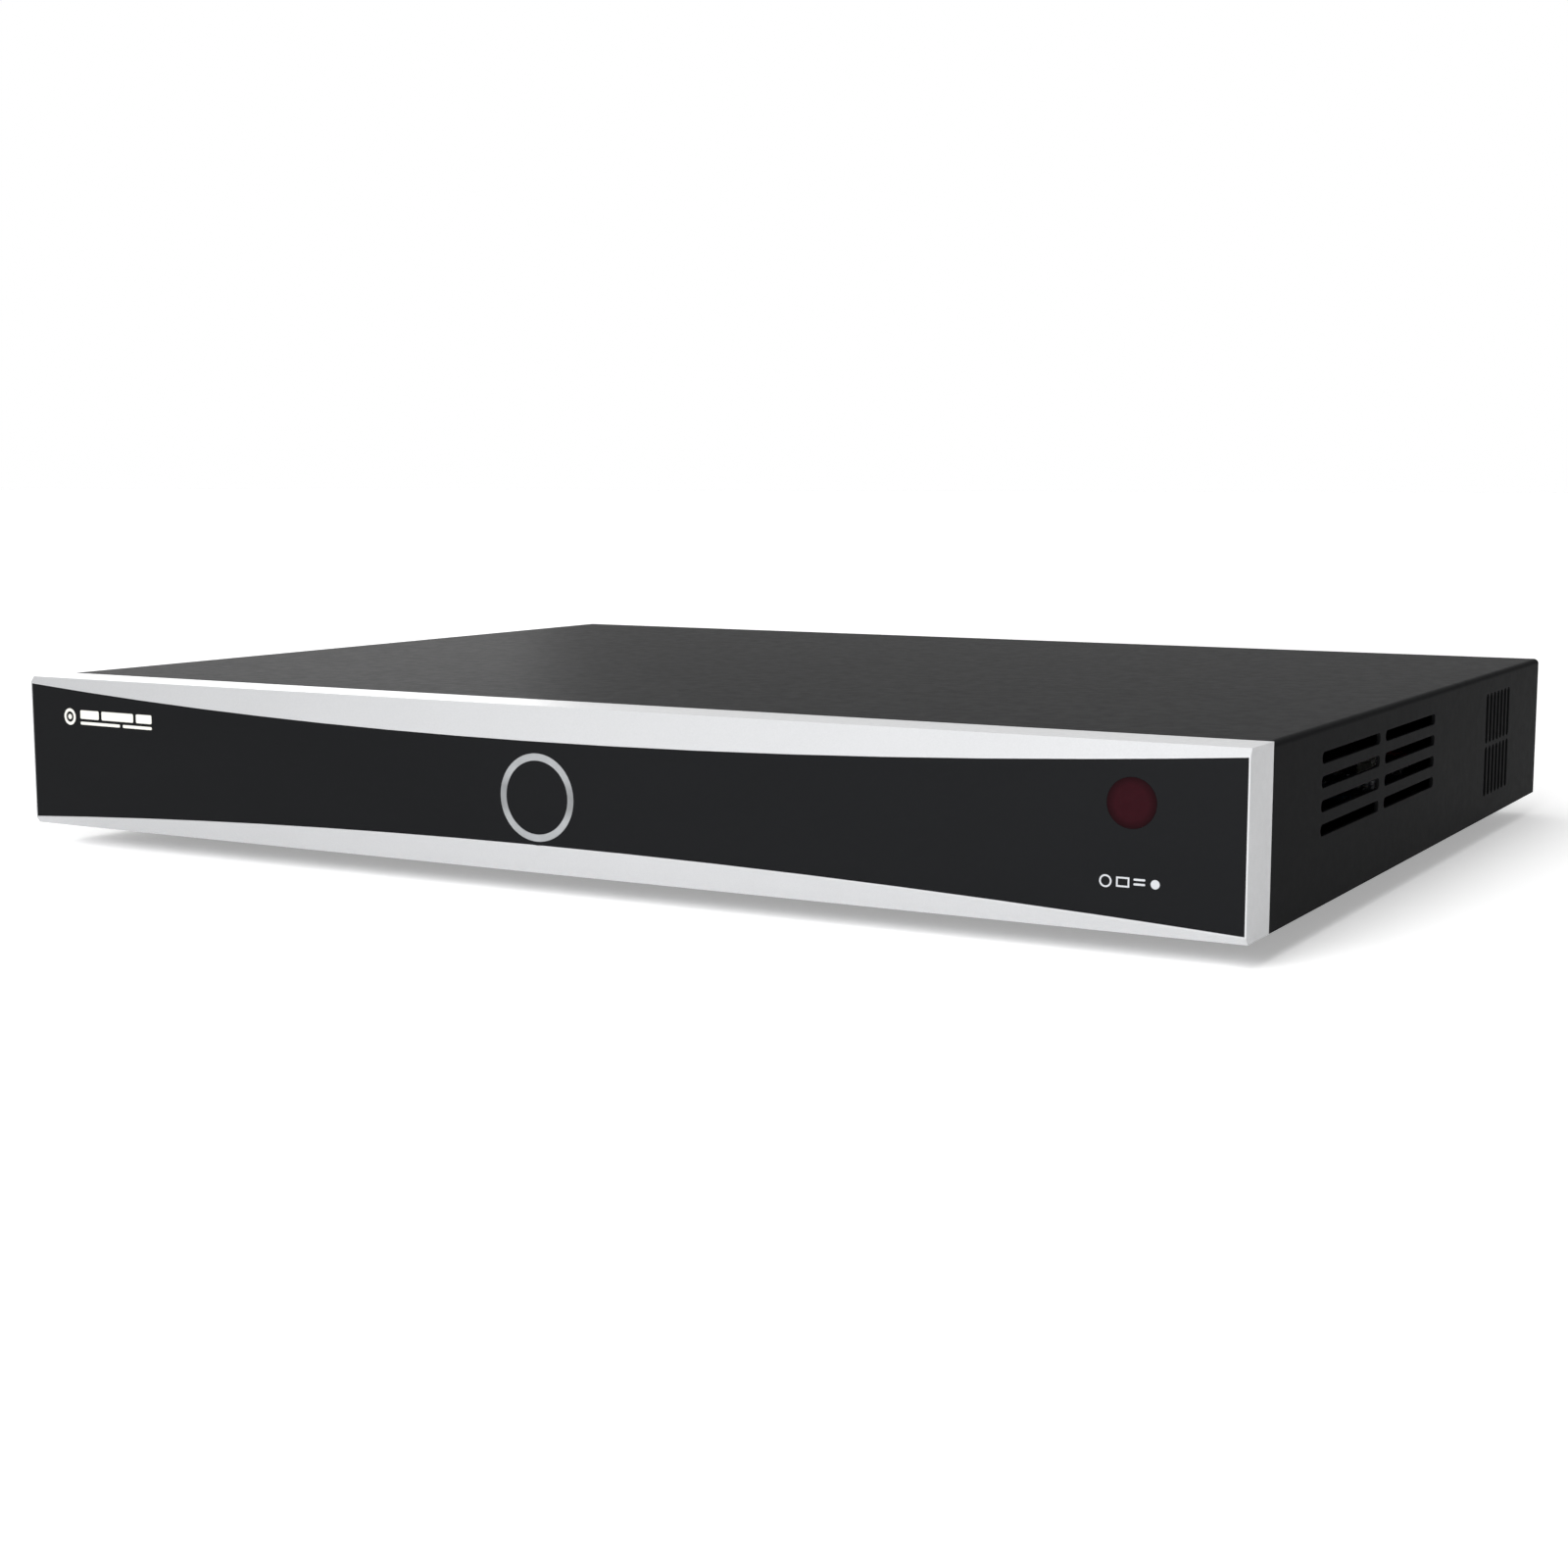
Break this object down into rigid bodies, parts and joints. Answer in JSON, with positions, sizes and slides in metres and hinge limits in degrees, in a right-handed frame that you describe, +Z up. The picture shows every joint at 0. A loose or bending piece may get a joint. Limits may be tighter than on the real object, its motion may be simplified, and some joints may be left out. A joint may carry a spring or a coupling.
{
  "type": "video recorder",
  "caption": "Slim desktop CCTV video recorder: steel case, silver bezel with curved black panel and light ring, drives, boards, side fan and rear sockets.",
  "frame": {"origin": "centre of the footprint, on the surface that the feet stand on", "axes": "+X to the right as seen from the front, +Y to the rear, +Z up"},
  "size_m": [0.385, 0.315, 0.052],
  "materials": {
    "case_powder_coat": "satin, fine powder-coat grain",
    "black_screws": "black oxide",
    "silver_bezel": "silver lacquered plastic, satin",
    "gloss_black_panel": "smooth gloss",
    "light_ring": "translucent light guide, unlit",
    "ir_window": "dark red, passes infra-red",
    "green_board": "solder mask",
    "main_board": "solder mask",
    "black_moulding": "moulded plastic",
    "led_white": "clear epoxy",
    "ribbon_grey": "flat cable",
    "zinc_screws": "zinc plated",
    "heat_sink": "extruded",
    "chip_black": "moulded epoxy",
    "capacitor_sleeve": "shrink sleeve",
    "inductor_ferrite": "sintered ferrite",
    "cell_steel": "nickel plated",
    "header_white": "nylon",
    "drive_casting": "cast",
    "drive_lid": "pressed",
    "cable_red": "flexible jacket",
    "cable_black": "flexible jacket",
    "fan_plastic": "moulded plastic",
    "nickel": "nickel plated",
    "insulator_white": "moulded plastic",
    "gold_contact": "gold plated",
    "insulator_red": "moulded plastic",
    "vga_blue": "moulded plastic",
    "terminal_green": "moulded plastic",
    "rocker_black": "moulded plastic",
    "foot_rubber": "matt"
  },
  "bodies": {
    "chassis": {"base_chassis": "case_powder_coat", "front_bezel": "silver_bezel", "front_panel": "gloss_black_panel", "status_ring": "light_ring", "ir_window": "ir_window", "front_board": "green_board", "ir_receiver": "black_moulding", "ring_leds": "led_white", "front_ribbon": "ribbon_grey", "m3_screws": "zinc_screws", "main_board": "main_board", "heat_sink": "heat_sink", "processor": "chip_black", "memory_chips": "chip_black", "video_decoders": "chip_black", "capacitors": "capacitor_sleeve", "inductors": "inductor_ferrite", "coin_cell": "cell_steel", "cell_holder": "black_moulding", "sata_sockets": "black_moulding", "board_headers": "header_white", "drive_left_casting": "drive_casting", "drive_left_lid": "drive_lid", "drive_left_board": "green_board", "drive_right_casting": "drive_casting", "drive_right_lid": "drive_lid", "drive_right_board": "green_board", "drive_screws": "zinc_screws", "drive_data_cables": "cable_red", "drive_power_cables": "cable_black", "fan_frame": "black_moulding", "fan_screws": "zinc_screws", "fan_lead": "cable_red", "bnc_housing": "black_moulding", "bnc_shells": "nickel", "bnc_insulators": "insulator_white", "bnc_contacts": "gold_contact", "rca_housing": "black_moulding", "rca_shells": "nickel", "rca_insulators": "insulator_red", "vga_shell": "nickel", "vga_insert": "vga_blue", "vga_nuts": "nickel", "hdmi_shell": "nickel", "hdmi_tongue": "black_moulding", "usb_shell": "nickel", "usb_tongues": "insulator_white", "lan_jack": "nickel", "terminal_header": "terminal_green", "dc_jack": "black_moulding", "dc_pin": "nickel", "switch_body": "black_moulding", "switch_leads": "cable_black", "feet": "foot_rubber"},
    "cover": {"top_cover": "case_powder_coat", "cover_screws": "black_screws"},
    "fan_rotor": {"fan_rotor": "fan_plastic"},
    "rocker": {"switch_rocker": "rocker_black"},
    "terminal_plug": {"terminal_plug": "terminal_green", "terminal_screws": "zinc_screws"}
  },
  "joints": [
    {"name": "cover_slide", "type": "slide", "parent": "chassis", "child": "cover", "axis": [0, 1, 0], "range_m": [0, 0.2]},
    {"name": "fan_spin", "type": "hinge", "parent": "chassis", "child": "fan_rotor", "pos_m": [0.1849, 0.09, 0.03], "axis": [1, 0, 0], "continuous": true},
    {"name": "switch_rock", "type": "hinge", "parent": "chassis", "child": "rocker", "pos_m": [-0.168, 0.1452, 0.034], "axis": [0, 0, 1], "range_deg": [0, 16]},
    {"name": "terminal_pull", "type": "slide", "parent": "chassis", "child": "terminal_plug", "axis": [0, 1, 0], "range_m": [0, 0.012]}
  ]
}
